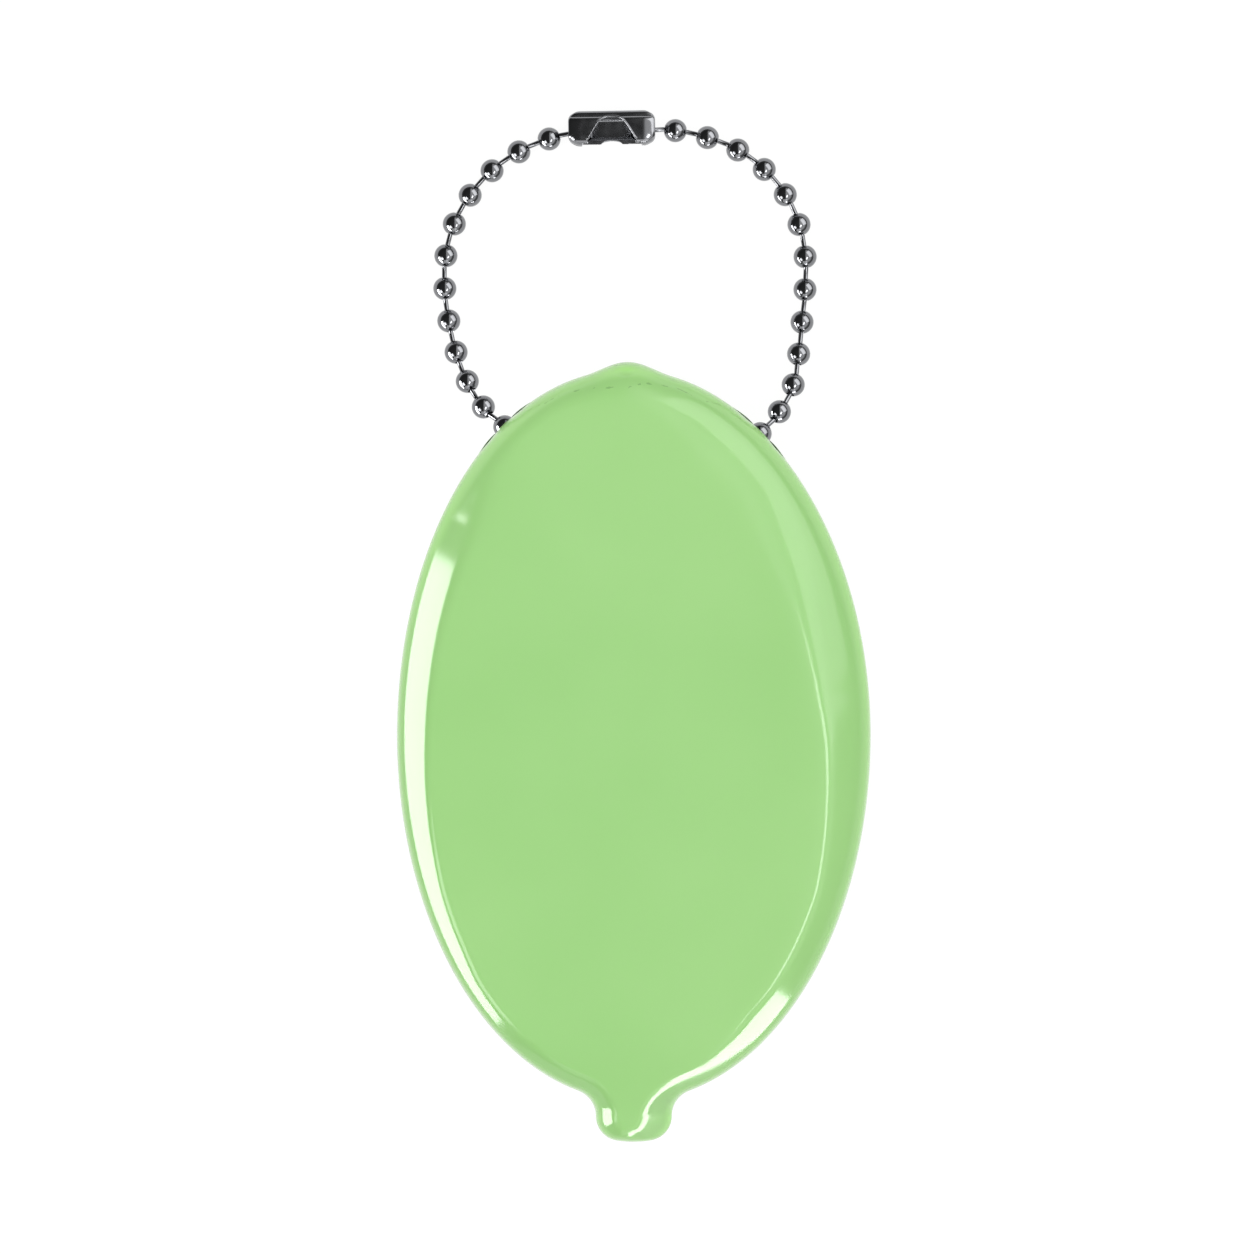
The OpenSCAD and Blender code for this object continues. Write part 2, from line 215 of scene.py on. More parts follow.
# %% Nickel: steel with a bright, darkly shining nickel plate, finely scratched from handling
def nickel(name, tint, roughness):
    """Dark plated metal whose roughness varies a little over its surface."""
    material, tree, shader = new_material(name)
    place = add(tree, "ShaderNodeTexCoord").outputs["Object"]
    scuffs = add(tree, "ShaderNodeTexNoise", {"Vector": place}, Scale=900.0, Detail=4.0)
    spread = add(tree, "ShaderNodeMapRange", {"Value": scuffs.outputs["Fac"]}, From_Min=0.3, From_Max=0.7,
                 To_Min=roughness * 0.75, To_Max=roughness * 1.3)
    tree.links.new(spread.outputs["Result"], shader.inputs["Roughness"])
    shader.inputs["Base Color"].default_value = colour(tint)
    shader.inputs["Metallic"].default_value = 1.0
    return material


chain_steel = nickel("chain_steel", "#8A8B8E", 0.11)
connector_steel = nickel("connector_steel", "#909194", 0.14)

# %% [markdown]
# ## Outline of the purse
# The oval leans a little to the left at its top. Its lower end runs through two fillets into the tail.
# The outline is cut into columns that run down the right half and back up the left half.

# %% Outline columns
HALF_W, HALF_L, MID_Z = 24.3, 37.5, 5.75
LEAN = 0.7
WALL = 1.9
TAIL_HALF_W, TAIL_Y, FILLET, CORNER = 3.9, -41.7, 2.8, 2.5
CORNER_TURN = np.radians(81)
# Columns along the fillet, the tail's corner and half of the tail's end.
FILLET_COLUMNS, CORNER_COLUMNS, END_COLUMNS = 18, 14, 6


def oval(t, inset=0.0):
    """Point (a cos t - LEAN (y/b)^2, b sin t) of the oval, which leans over y > 0, moved in by inset."""
    y = HALF_L * np.sin(t)
    out = unit(np.stack([HALF_L * np.cos(t), HALF_W * np.sin(t)], -1))
    x = HALF_W * np.cos(t) - LEAN * np.where(y > 0, y / HALF_L, 0) ** 2
    return np.stack([x, y], -1) - np.asarray(inset)[..., None] * out


def oval_out(t):
    """Outward normal of the oval at angle t."""
    return unit(np.stack([HALF_L * np.cos(t), HALF_W * np.sin(t)], -1))


def half_outline():
    """Right half of the outline from the top: points, oval angles, outward normals and tail share."""
    grid = np.radians(np.linspace(-89, -45, 2000))
    reach = oval(grid)[:, 0] + FILLET * oval_out(grid)[:, 0]
    touch = grid[np.argmin(np.abs(reach - TAIL_HALF_W - FILLET))]
    t = np.radians(np.concatenate([np.arange(90, 66, -0.8), np.arange(66, 48, -0.3),
                                   np.arange(48, np.degrees(touch), -0.8)]))
    points, normals, share = [oval(t)], [oval_out(t)], [np.zeros(len(t))]
    centre = oval(touch) + FILLET * oval_out(touch)
    start = np.arctan2(*(-oval_out(touch))[::-1])
    turn = np.linspace(start, np.pi, FILLET_COLUMNS)
    arc = np.stack([np.cos(turn), np.sin(turn)], -1)
    points.append(centre + FILLET * arc)
    normals.append(-arc)
    share.append(smooth(np.linspace(0, 1, FILLET_COLUMNS)))
    # The tail's end is one wide arc that runs on from both corner arcs.
    wide = (TAIL_HALF_W - CORNER) / np.cos(CORNER_TURN) + CORNER
    centre_y = TAIL_Y + wide - (wide - CORNER) * np.sin(CORNER_TURN)
    turn = np.linspace(0, -CORNER_TURN, CORNER_COLUMNS)
    arc = np.stack([np.cos(turn), np.sin(turn)], -1)
    points.append(np.array([TAIL_HALF_W - CORNER, centre_y]) + CORNER * arc)
    normals.append(arc)
    share.append(np.ones(CORNER_COLUMNS))
    turn = np.linspace(-CORNER_TURN, -np.pi / 2, END_COLUMNS + 1)[1:]
    arc = np.stack([np.cos(turn), np.sin(turn)], -1)
    points.append(np.array([0.0, TAIL_Y + wide]) + wide * arc)
    normals.append(arc)
    share.append(np.ones(END_COLUMNS))
    share = np.concatenate(share)
    rest = len(share) - len(t)
    t = np.concatenate([t, np.linspace(touch, -np.pi / 2, rest + 1)[1:]])
    return np.concatenate(points), t, np.concatenate(normals), share


right, right_t, right_n, right_share = half_outline()
count = len(right)
flip_x = np.array([-1.0, 1.0])
left = right * flip_x
left[:, 0] -= 2 * LEAN * np.where(left[:, 1] > 0, left[:, 1] / HALF_L, 0) ** 2
order = slice(count - 2, 0, -1)
outline = np.concatenate([right, left[order]])
angle = np.concatenate([right_t, np.pi - right_t[order]])
angle = np.where(angle > np.pi, angle - 2 * np.pi, angle)
normal = np.concatenate([right_n, (right_n * flip_x)[order]])
tail = np.concatenate([right_share, right_share[order]])
half_index = np.concatenate([np.arange(count), np.arange(count)[order]])
is_left = np.arange(len(outline)) >= count
columns = len(outline)
degrees = np.degrees(angle)
turn_left = np.where(is_left & (degrees < 0), degrees + 360, degrees)


# %% [markdown]
# ## Rim
# The rim's width and the softness of its inner edge change around the purse, as the photo shows. Each
# rim section is a superellipse, which is fuller than an ellipse beside the faces.

# %% Rim width, edge softness and chain slits by angle
def around(stops):
    """Value by oval angle in degrees, from -90 at the tail over the right side to 270 at the tail."""
    places, values = zip(*sorted(stops.items()))
    where = np.where(is_left, turn_left, degrees)
    return np.interp(where, places, values)


width = around({-90: 1.9, -79: 1.9, -71: 2.0, -64: 2.5, -55: 3.0, -48: 2.9, -27: 3.0, -12: 3.9, -1: 4.4,
                7: 5.0, 14: 5.25, 46: 5.45, 57: 5.6, 62: 5.3, 70: 4.3, 78: 3.5, 90: 3.1, 100: 3.0,
                111: 2.7, 121: 2.7, 130: 3.5, 138: 4.1, 146: 4.2, 160: 3.85, 170: 3.65, 180: 3.4,
                198: 2.9, 207: 2.55, 217: 2.35, 224: 2.0, 255: 1.8, 270: 1.8})
softness = around({-90: 0.5, -60: 0.45, -10: 0.5, 10: 0.9, 30: 1.6, 60: 2.2, 90: 1.2, 120: 1.2,
                   140: 1.3, 155: 0.7, 180: 0.5, 230: 0.5, 270: 0.5})
FULLNESS = 3.0
CREASE = np.radians(25)
# Share of a flat bevel, 40 degrees steep, in the rim's section. There is none at the chain slits.
bevelled = around({-90: 0.95, -60: 0.75, -30: 0.65, 20: 0.6, 35: 0.3, 46: 0, 67: 0, 78: 0.25, 100: 0.25,
                   111: 0, 132: 0, 143: 0.75, 160: 0.8, 200: 0.8, 270: 0.95})
# Its slope, what the tail's right side adds to that, and the reach and fullness of its rounded outer end.
BEVEL_SLOPE, TAIL_STEEPER, BEVEL_ROUND, BEVEL_POWER = 0.84, 0.25, 0.75, 2.5

# The tail's flat is narrow and sits left of its middle, so that its right bevel is the wider one.
TAIL_FLAT_X, TAIL_FLAT_LEFT, TAIL_FLAT_RIGHT, TAIL_END_BEVEL = -0.55, 1.35, 1.45, 1.2
crease_x = TAIL_FLAT_X + outline[:, 0] * np.where(is_left, TAIL_FLAT_LEFT, TAIL_FLAT_RIGHT) / TAIL_HALF_W
crease_y = outline[:, 1] + TAIL_END_BEVEL * smooth((-38.3 - outline[:, 1]) / 3.4)
tail_crease = np.stack([crease_x, crease_y], -1)
crease = (1 - tail)[:, None] * (outline - width[:, None] * normal) + tail[:, None] * tail_crease
rim_w = np.linalg.norm(crease - outline, axis=1)
softness = np.minimum(softness, 0.4 * rim_w)
# The tail's right bevel is steeper, and so looks darker.
bevel_slope = BEVEL_SLOPE + TAIL_STEEPER * tail * smooth((outline[:, 0] + 1.2) / 2.4)

# Oval angles in degrees where the chain leaves.
LEFT_EXIT, RIGHT_EXIT = 122, 56
# A slit's half height over a ball, how fast it narrows, its hairline with the least height that keeps
# it open, and its half length.
SLIT_OPEN, SLIT_SPREAD, HAIRLINE, LEAST_OPENING, SLIT_END = 1.33, 1.45, 0.03, 0.004, 4.4
steps = np.linalg.norm(np.roll(outline, -1, axis=0) - outline, axis=1)
along = np.concatenate([[0], np.cumsum(steps)[:-1]])


def slit_distance(exit_degrees):
    """Distance along the outline from an exit."""
    middle = along[np.argmin(np.abs(np.where(is_left, turn_left, degrees) - exit_degrees))]
    return np.abs(along - middle)


def slit_opening(exit_degrees):
    """Half height of a slit that a ball spreads: SLIT_OPEN exp(-(s/SLIT_SPREAD)^2), plus its hairline."""
    s = slit_distance(exit_degrees)
    h = SLIT_OPEN * np.exp(-(s / SLIT_SPREAD) ** 2) + HAIRLINE * (1 - smooth((s - 3.2) / 1.2))
    return np.where(s < SLIT_END, np.maximum(h, LEAST_OPENING), 0)


opening = slit_opening(LEFT_EXIT) + slit_opening(RIGHT_EXIT)
in_slit = opening > 0
slit_s = np.minimum(slit_distance(LEFT_EXIT), slit_distance(RIGHT_EXIT))

# How much the tail is thinner on each side, the nub's height, middle and half width, and its dimple.
TAIL_THINNER = 1.8
NUB_H, NUB_X, NUB_HALF_W = 0.8, -0.6, 4.6
DIMPLE_DEPTH = 0.3


def half_height(y):
    """Half thickness: 5.75 over the oval, easing to 3.95 over the tail."""
    return MID_Z - TAIL_THINNER * smooth((-30.5 - y) / 10.5)


def nub(x):
    """Height of the drip nub on the outline: NUB_H cos^2."""
    u = np.clip((x - NUB_X) / NUB_HALF_W, -1, 1)
    return NUB_H * np.cos(np.pi / 2 * u) ** 2 * (np.abs(u) < 1)


def crease_slope(xy):
    """Slope of the rim where it meets the crease, before the crease is rounded."""
    p = 2 / FULLNESS
    full = half_height(xy[:, 1]) / rim_w * (1 - np.sin(CREASE) ** p) * np.tan(CREASE) ** (2 - p)
    return (1 - bevelled) * full + bevelled * bevel_slope


def slit_shift(side):
    """Sideways shift of a slit's lips along the outline's normal: the front lip covers half the ball."""
    wide = np.exp(-(slit_s / 1.25) ** 2)
    along_cut = 1 - smooth((slit_s - 1.6) / 2.8)
    return (0.34 * wide - 0.16 * along_cut) if side > 0 else 0.14 * along_cut


def rim_ring(share, side, lift=0.0):
    """Ring at a share of the rim from its widest line (0) to its crease (1), on side +1 front or -1 back.

    With p = 2 / FULLNESS and rim angle f, inset = A (1 - sin^p f) and height = B cos^p f, where A and B
    put the crease at 25 degrees. A share of a straight bevel with a rounded outer end is mixed in. Where
    a slit is open, the widest line lies at its opening plus the lift.
    """
    p = 2 / FULLNESS
    full = half_height(outline[:, 1]) / np.cos(CREASE) ** p
    start = np.arccos(np.clip((opening + lift * np.minimum(opening / 0.3, 1)) / full, 0, 1) ** (1 / p))
    f = start + (CREASE - start) * share
    inset = (1 - np.sin(f) ** p) / (1 - np.sin(CREASE) ** p)
    xy = outline + (crease - outline) * inset[:, None]
    away = (1 - inset) * rim_w
    curved = half_height(xy[:, 1]) * np.cos(f) ** p / np.cos(CREASE) ** p
    outer = np.clip(1 - inset * rim_w / BEVEL_ROUND, 0, 1)
    rounded = (1 - outer ** BEVEL_POWER) ** (1 / BEVEL_POWER)
    straight = (half_height(xy[:, 1]) - bevel_slope * away) * rounded
    height = (1 - bevelled) * curved + bevelled * straight
    height = height - crease_slope(xy) / (4 * softness) * np.maximum(0, softness - away) ** 2
    xy = xy + normal * (slit_shift(side) * np.exp(-height / 1.6))[:, None]
    xy[:, 1] += nub(xy[:, 0]) * np.sin(f) ** 4 * (xy[:, 1] > 0)
    if side > 0:
        height = height - DIMPLE_DEPTH * dimple(xy)
    return np.column_stack([xy, MID_Z + side * height]), inset * rim_w


def dimple(xy):
    """Shallow oval dent in the nub, left by the last drop: 1 in its middle, 0 outside."""
    return smooth(1 - ((xy[:, 0] + 0.82) / 1.0) ** 2 - ((xy[:, 1] - 37.2) / 0.48) ** 2)


# The front face's columns meet on this line along the purse's middle.
half_y = right[half_index, 1]
spine_y = np.interp(half_y, [-41.7, -38.5, -35, -30, -20, 0, 38.3], [-39.2, -36.5, -31, -22, -11, 0, 20])
spine_x = TAIL_FLAT_X * smooth((-34 - half_y) / 4)
spine = np.stack([spine_x, spine_y], -1)


def face_ring(share, target, side):
    """Ring on a flat face between the crease (0) and a target line (1), with the crease's rounding."""
    xy = crease + (target - crease) * share[:, None]
    away = np.linalg.norm(xy - crease, axis=1)
    height = half_height(xy[:, 1]) - crease_slope(xy) / (4 * softness) * np.maximum(0, softness - away) ** 2
    xy[:, 1] += nub(xy[:, 0]) * 0.03 * (xy[:, 1] > 0)
    return np.column_stack([xy, MID_Z + side * height]), rim_w + away


def face_rings(target, side, rows):
    """Rings from just inside the crease to the target line, close together at the crease."""
    length = np.linalg.norm(target - crease, axis=1)
    near = [0.25, 0.55, 1.0]  # shares of the crease's softness
    rings = [face_ring(np.minimum(step * softness / length, 0.5), target, side) for step in near]
    first = np.minimum(softness / length, 0.5)
    return rings + [face_ring(first + (1 - first) * k / rows, target, side) for k in range(1, rows + 1)]


# %% [markdown]
# ## Inside of the shell
# The cavity keeps an even wall under the rim and both faces. It has no tail: the tail is solid.

# %% Cavity rings
# The cavity's half height, and the width of its curved rim.
INNER_H, CAVITY_RIM = MID_Z - WALL, 2.4
inner_edge = oval(angle, WALL)
inner_crease = oval(angle, WALL + CAVITY_RIM)
inner_y = np.interp(HALF_L * np.sin(angle), [-37.5, -30, -20, 0, 37.5], [-30, -22, -11, 0, 20])
inner_spine = np.stack([np.zeros(columns), inner_y], -1)


def inner_ring(share, side):
    """Ring of the cavity's rim: an ellipse in section from its widest line (0) to its crease (1)."""
    start = np.arccos(np.clip(opening / (INNER_H / np.cos(CREASE)), 0, 1))
    f = start + (CREASE - start) * share
    xy = inner_edge + (inner_crease - inner_edge) * ((1 - np.sin(f)) / (1 - np.sin(CREASE)))[:, None]
    return np.column_stack([xy, MID_Z + side * INNER_H * np.cos(f) / np.cos(CREASE)])


def inner_face_ring(share, target, side):
    """Ring on the cavity's flat side between its crease (0) and a target line (1)."""
    xy = inner_crease + (target - inner_crease) * share
    return np.column_stack([xy, np.full(columns, MID_Z + side * INNER_H)])


# The back has a loop inside which the two lips bend. It lies well inside the rim.
LOOP_W, LOOP_TOP, LOOP_BOTTOM = 17.5, 27.0, -33.5
LOOP_MID, LOOP_HALF = (LOOP_TOP + LOOP_BOTTOM) / 2, (LOOP_TOP - LOOP_BOTTOM) / 2
loop_angle = np.arctan2((half_y - LOOP_MID) / LOOP_HALF, right[half_index, 0] / LOOP_W)
loop_x = LOOP_W * np.cos(loop_angle) * np.where(is_left, -1, 1)
loop = np.stack([loop_x, LOOP_MID + LOOP_HALF * np.sin(loop_angle)], -1)
loop[np.isin(half_index, [0, count - 1]), 0] = 0

# %% [markdown]
# ## Purse body
# Front and back halves meet on the widest line. Where a chain slit is open they stand apart, and a
# strip through the wall joins the outside to the inside. Three attributes steer the vinyl's colour: the
# fine line that joins the two slits, painted light along the edge, and painted shade inside the slits.

# %% Purse body mesh
RIM_ROWS = [0, 0.012, 0.03, 0.06, 0.1, 0.15, 0.2, 0.26, 0.32, 0.38, 0.44, 0.5, 0.56, 0.62, 0.68, 0.74, 0.8,
            0.85, 0.9, 0.94, 0.97, 1.0]
# How far above a slit's cut the outside starts, which leaves room for a rounded lip.
LIP_ROUND = 0.14


def slit_strip(side):
    """Rings through the wall of a slit, between its rounded outer edge and the cavity."""
    outer, _ = rim_ring(0.0, side, LIP_ROUND)
    rings = []
    for depth, lift in ((0.04, 0.06), (0.14, 0.0), (0.5, 0.0)):
        xy = outer[:, :2] - normal * depth
        z = MID_Z + side * (opening + lift * np.minimum(opening / 0.3, 1))
        rings.append(np.column_stack([xy, z]))
    return rings


def half_shell(side):
    """One half as three lists of rings: the outside with its insets, the slit strip and the inside."""
    outside = [rim_ring(share, side, LIP_ROUND) for share in RIM_ROWS]
    inside = [inner_ring(share, side) for share in (0, 0.2, 0.4, 0.6, 0.8, 1)]
    if side > 0:
        outside += face_rings(spine, side, 14)
        inside += [inner_face_ring(share, inner_spine, side) for share in (0.25, 0.5, 0.75, 1)]
    else:
        outside += face_rings(loop, side, 5)
        inside += [inner_face_ring(share, loop, side) for share in (0.33, 0.66, 1)]
    return outside, slit_strip(side), inside


# Inset of the fine line that joins the two slits over the top, by angle.
line_inset = np.interp(degrees, [55, 59, 64, 70, 78, 85, 90, 95, 104, 111, 121, 125],
                       [0.05, 0.08, 0.32, 1.16, 1.17, 1.53, 2.1, 1.94, 1.26, 1.07, 0.12, 0.05])
on_top = (degrees > 57) & (degrees < 122)

# Painted light: the vinyl's colour is made lighter along its edge, for the light from the paper that comes
# through it.
edge_width = around({-90: 0.9, 0: 1.0, 60: 1.6, 90: 1.3, 120: 2.0, 145: 1.6, 165: 0.9, 270: 0.9})
edge_light = around({-90: 0.9, 40: 0.8, 90: 0.8, 140: 0.9, 270: 0.9})
points, quads, cut_line, painted_edge_light, painted_slit_shade = [], [], [], [], []


def put(ring, inset=None, inside=False):
    """Adds a ring and its attributes, and returns the index of its first point.

    The inset, which only the front's rings give, tells how far the ring is from the fine line. With
    inside, the ring lies in a slit and gets the slit's painted shade.
    """
    first = sum(len(r) for r in points)
    points.append(ring)
    closeness = np.zeros(columns)
    if inset is not None:
        closeness = np.where(on_top, np.maximum(CUT_REACH - np.abs(inset - line_inset), 0), 0)
    cut_line.append(closeness)
    # Painted light along the edge, and painted shade on the rings that lie in a slit.
    from_edge = np.linalg.norm(ring[:, :2] - outline, axis=1)
    painted_edge_light.append(edge_light * (1 - smooth(from_edge / edge_width)))
    painted_slit_shade.append(np.full(columns, float(inside)))
    return first


slit_columns = in_slit | np.roll(in_slit, 1) | np.roll(in_slit, -1)
for side in (1, -1):
    outside, strip, inside = half_shell(side)
    outer_first = [put(ring, inset if side > 0 else None) for ring, inset in outside]
    inner_first = [put(ring) for ring in inside]
    strip_first = [outer_first[0]] + [put(ring, inside=True) for ring in strip] + [inner_first[0]]
    for p, q in zip(outer_first[:-1], outer_first[1:]):
        quads.append(ring_quads(p, q, columns, True, side > 0))
    for p, q in zip(inner_first[:-1], inner_first[1:]):
        quads.append(ring_quads(p, q, columns, True, side < 0))
    if side < 0:
        quads.append(ring_quads(outer_first[-1], inner_first[-1], columns, True, False))
    i = np.flatnonzero(slit_columns & np.roll(slit_columns, -1))
    for p, q in zip(strip_first[:-1], strip_first[1:]):
        strip_quads = np.stack([p + i, p + i + 1, q + i + 1, q + i], axis=1)
        quads.append(strip_quads if side > 0 else strip_quads[:, ::-1])

points, faces, kept = merged(np.concatenate(points), np.concatenate(quads))
purse = add_object("purse_body", points, faces, vinyl, "purse", 60)
# The chain stays clean grey metal, without the purse's green in it.
purse.visible_glossy = False
for name, values in (("cut_line", cut_line), ("painted_edge_light", painted_edge_light), ("painted_slit_shade", painted_slit_shade)):
    stored = purse.data.attributes.new(name, "FLOAT", "POINT")
    stored.data.foreach_set("value", np.concatenate(values)[kept].astype(np.float32))
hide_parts("purse_shell")

# %% [markdown]
# ## Lips
# The back wall bends when the ends are squeezed: most at the middle of the slit, not at all around
# the mouth. Each lip is cut into wedges round the middle of the slit, which stand in for the
# imported lip, and that is hidden.

# %% Lip wedges
SLIT_HALF, SLIT_TOP, SLIT_BOTTOM = 0.1, 25.0, -32.0
EDGE_R = 0.45
# The lip's corners, from the slit's top to its bottom, and the point that its wedges run out from.
CORNERS = [(SLIT_HALF, SLIT_TOP), (10.6, 19.2), (15.6, 7.5), (15.6, -9.5), (11.0, -25.0),
           (SLIT_HALF, SLIT_BOTTOM)]
APEX = np.array([SLIT_HALF, 0.0])
# Shares of the way from the apex to the mouth's loop, and from one side of a wedge to the other.
LIP_STEPS = [0, 0.012, 0.03, 0.055, 0.09, 0.14, 0.2, 0.28, 0.37, 0.46, 0.55, 0.64, 0.73, 0.82, 0.88, 0.905,
             0.92, 0.935, 0.945, 0.955, 0.965, 0.98, 1]
EVEN_STEPS = np.arange(0, 1.0001, 0.1)
CLOSE_STEPS = np.array([0, 0.004, 0.01, 0.02, 0.04, 0.08, 0.14, 0.22, 0.32, 0.44, 0.58, 0.72, 0.86, 1])


def loop_point(way):
    """Where a ray from the apex in direction way meets the mouth's loop."""
    ax, ay = way[0] / LOOP_W, way[1] / LOOP_HALF
    ox, oy = SLIT_HALF / LOOP_W, -LOOP_MID / LOOP_HALF
    a, b, c = ax * ax + ay * ay, ax * ox + ay * oy, ox * ox + oy * oy - 1
    return APEX + way * (-b + np.sqrt(b * b - a * c)) / a


def along_slit(y, beyond, fade):
    """1 along the slit, easing over fade to 0 where y is beyond its ends by that much."""
    return smooth((SLIT_TOP + beyond - y) / fade) * smooth((y + (beyond - SLIT_BOTTOM)) / fade)


def edge_drop(x, y):
    """How far the wall's surface is rounded away beside the slit: r - sqrt(r^2 - (r - d)^2)."""
    d = np.clip(np.abs(x) - SLIT_HALF, 0, EDGE_R)
    return (EDGE_R - np.sqrt(EDGE_R ** 2 - (EDGE_R - d) ** 2)) * along_slit(y, 0.2, 0.6)


def wedge(index, side):
    """Closed solid of one wedge on side +1 right or -1 left, as points and faces."""
    ends = [unit(np.array(CORNERS[index + k]) - APEX) for k in (0, 1)]
    spread = EVEN_STEPS
    # The first and last wedges lie along the slit, and need close rays for its rounded edge.
    if index == 0:
        spread = CLOSE_STEPS
    if index == len(CORNERS) - 2:
        spread = 1 - CLOSE_STEPS[::-1]
    turn = np.unwrap([np.arctan2(w[1], w[0]) for w in ends])
    rays = [np.array([np.cos(t), np.sin(t)]) for t in turn[0] + (turn[1] - turn[0]) * spread]
    grid = np.array([[APEX + (loop_point(ray) - APEX) * step for ray in rays] for step in LIP_STEPS])
    x, y = grid[..., 0], grid[..., 1]
    # Past its ends the slit closes, so that the two lips meet on the middle line.
    x = np.where(np.abs(x - SLIT_HALF) < 1e-6, SLIT_HALF * along_slit(y, 0.25, 0.25), x)
    drop = edge_drop(x, y)
    low = np.stack([side * x, y, drop], -1)
    high = np.stack([side * x, y, WALL - drop], -1)
    rows, across = x.shape
    index_of = np.arange(rows * across).reshape(rows, across)
    sheet = np.concatenate([ring_quads(r * across, (r + 1) * across, across, False, False)
                            for r in range(rows - 1)])
    upper = rows * across
    rim = np.concatenate([index_of[0, :-1], index_of[:-1, -1], index_of[-1, :0:-1], index_of[:0:-1, 0]])
    after = np.roll(rim, -1)
    walls = np.stack([rim, rim + upper, after + upper, after], -1)
    quads = np.concatenate([sheet[:, ::-1], sheet + upper, walls[:, ::-1]])
    if side > 0:
        quads = quads[:, ::-1]
    points, faces, _ = merged(np.concatenate([low.reshape(-1, 3), high.reshape(-1, 3)]), quads)
    return points, faces


for side, lip in ((-1, "left_lip"), (1, "right_lip")):
    for index in range(len(CORNERS) - 1):
        points, faces = wedge(index, side)
        panel = add_object(f"{lip}_wedge_{index + 1}", points, faces, vinyl, None, 35)
        p, q = np.array(CORNERS[index]), np.array(CORNERS[index + 1])
        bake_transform(panel)
        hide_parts(lip)

# %% [markdown]
# ## Ball chain
# Each ball is a hollow bead of sheet metal with its edge rolled in round each hole. Each pin is a
# short rod with a flattened head inside each of its two balls.

# %% Chain pieces
# A ball's radius outside and inside, its holes' radius and their distance from its centre.
BALL_R, BALL_IN, HOLE_R, HOLE_AT = 1.2, 0.95, 0.42, 1.075
# The edge rolled in round a hole: how far it turns the ball's outline, in radians, and how deep it goes.
ROLL_TURN, ROLL_DEPTH = 0.09, 0.2
# A pin's radius, its heads' radius and thickness, and how far out in the ball they lie, as a share.
PIN_R, HEAD_R, HEAD_T, HEAD_DEPTH = 0.25, 0.45, 0.15, 0.6
# How far the balls in the exits sit inside the outline.
EXIT_DEPTH = 0.2


def lathe(profile, base, way, segments=48):
    """Turns a closed profile of (radius, height) round the axis way through base."""
    way = unit(np.asarray(way, float))
    side = unit(np.cross(way, [0.31, 0.17, 0.93]))
    up = np.cross(way, side)
    turn = np.linspace(0, 2 * np.pi, segments, endpoint=False)
    around_axis = np.cos(turn)[:, None] * side + np.sin(turn)[:, None] * up
    rings = [base + r * around_axis + h * way for r, h in profile]
    n = len(profile)
    quads = [ring_quads(k * segments, ((k + 1) % n) * segments, segments, True, False) for k in range(n)]
    return merged(np.concatenate(rings), np.concatenate(quads))[:2]


def bead_profile():
    """Section of a hollow ball: outer arc, rolled edge, inner arc, rolled edge."""
    edge = np.arcsin(HOLE_R / BALL_R)
    turns = np.linspace(edge + ROLL_TURN, np.pi - edge - ROLL_TURN, 30)
    outer = [(BALL_R * np.sin(t), BALL_R * np.cos(t)) for t in turns]
    inner_edge = np.arcsin((HOLE_R + 0.02) / BALL_IN)
    turns = np.linspace(np.pi - inner_edge, inner_edge, 14)
    inner = [(BALL_IN * np.sin(t), BALL_IN * np.cos(t)) for t in turns]
    h = BALL_R * np.cos(edge)
    roll = [(HOLE_R + 0.025, h - 0.012), (HOLE_R, h - 0.06), (HOLE_R, h - ROLL_DEPTH)]
    return outer + [(r, -z) for r, z in roll] + inner + roll[::-1]


def pin_profile(length, inside):
    """Section of a pin from one head to the other, closed on its axis."""
    half = length / 2 + inside
    top, bottom = half + HEAD_T / 2, half - HEAD_T / 2
    side = [(0, top), (HEAD_R - 0.06, top), (HEAD_R, half), (HEAD_R - 0.04, bottom), (PIN_R + 0.03, bottom),
            (PIN_R, bottom - 0.05)]
    return side + [(r, -h) for r, h in side[::-1]]


def centre_of(node):
    """Middle of a node's box in mm."""
    low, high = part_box(node)
    return (np.array(low) + np.array(high)) / 2 / MM


def exit_centre(exit_degrees):
    """Centre of the ball in an exit slit."""
    t = np.radians(exit_degrees)
    return np.append(oval(t) - EXIT_DEPTH * oval_out(t), MID_Z)


def body_of(node):
    """Name of the body that holds a node."""
    for name, nodes in frame["record"]["behaviour"]["bodies"].items():
        if node in nodes:
            return name


# Each arm's exit and the number of its last ball, which the connector holds.
arms = {"left": (LEFT_EXIT, 12), "right": (RIGHT_EXIT, 13)}
for arm, (exit_degrees, last) in arms.items():
    centres = [centre_of(f"{arm}_ball_{i:02d}") for i in range(1, last + 1)]
    route = np.array([exit_centre(exit_degrees)] + centres)
    ways = unit(np.diff(route, axis=0))
    hole_ways = unit(np.concatenate([ways[:1], ways[:-1] + ways[1:], ways[-1:]]))
    for i in range(1, last + 1):
        node = f"{arm}_ball_{i:02d}"
        points, faces = lathe(bead_profile(), route[i], hole_ways[i])
        bead = add_object(node + "_bead", points, faces, chain_steel, body_of(node), 50)
        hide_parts(node)
        node = f"{arm}_pin_{i:02d}"
        start = route[i - 1] + HOLE_AT * hole_ways[i - 1]
        end = route[i] - HOLE_AT * hole_ways[i]
        inside = HOLE_AT - (BALL_IN - HEAD_T) * HEAD_DEPTH
        profile = pin_profile(np.linalg.norm(end - start), inside)
        points, faces = lathe(profile, (start + end) / 2, end - start, 24)
        rod = add_object(node + "_rod", points, faces, chain_steel, body_of(node), 50)
        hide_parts(node)

# The chain inside the purse, and the two balls in the exits, keep the shape that they have.
for node in ("hidden_balls", "hidden_pins", "left_ball_00", "right_ball_00"):
    kept_node = frame["nodes"][node]
    kept_node.data.materials.clear()
    kept_node.data.materials.append(chain_steel)

